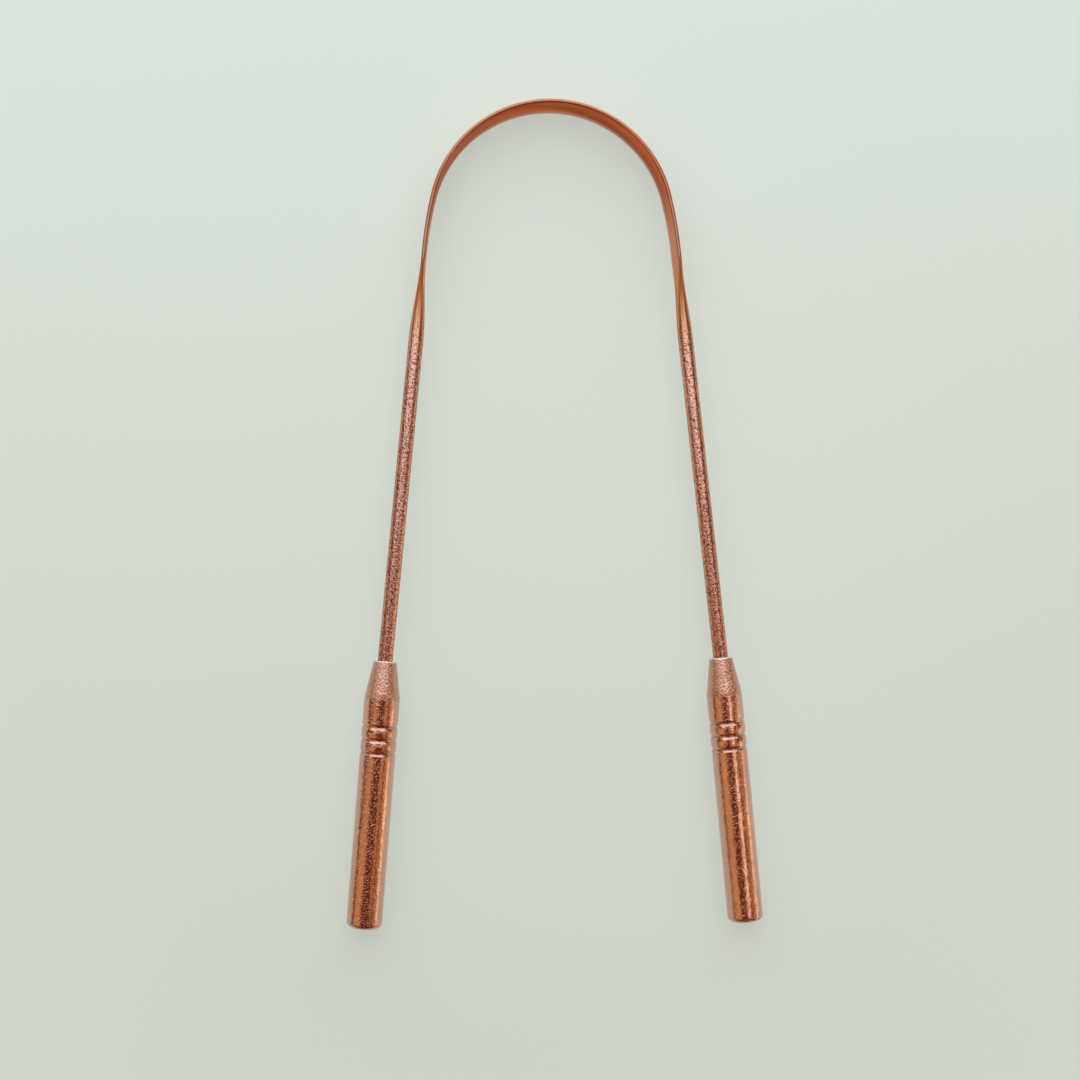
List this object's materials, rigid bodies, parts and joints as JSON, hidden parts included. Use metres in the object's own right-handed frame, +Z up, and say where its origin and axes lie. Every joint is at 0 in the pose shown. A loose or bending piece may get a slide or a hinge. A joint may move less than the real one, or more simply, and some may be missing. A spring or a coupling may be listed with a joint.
{
  "type": "tongue scraper",
  "caption": "U-shaped copper tongue scraper: a rod rolled flat into a curved blade, with a turned round bar handle pressed on each end.",
  "frame": {"origin": "on the surface that the scraper lies flat on, below the middle of its whole outline", "axes": "+Y runs from the handles to the middle of the blade, +X to the right-hand arm seen from above, +Z up, square to the plane of the bow"},
  "size_m": [0.0702, 0.138, 0.0072],
  "materials": {
    "polished_copper": "drawn and rolled copper, polished to a soft sheen with a fine lengthwise grain",
    "turned_copper": "turned copper bar, polished, with fine round-and-round tool marks on the cone"
  },
  "bodies": {
    "root": {"bow": "polished_copper", "left_handle": "turned_copper", "right_handle": "turned_copper"}
  },
  "joints": []
}
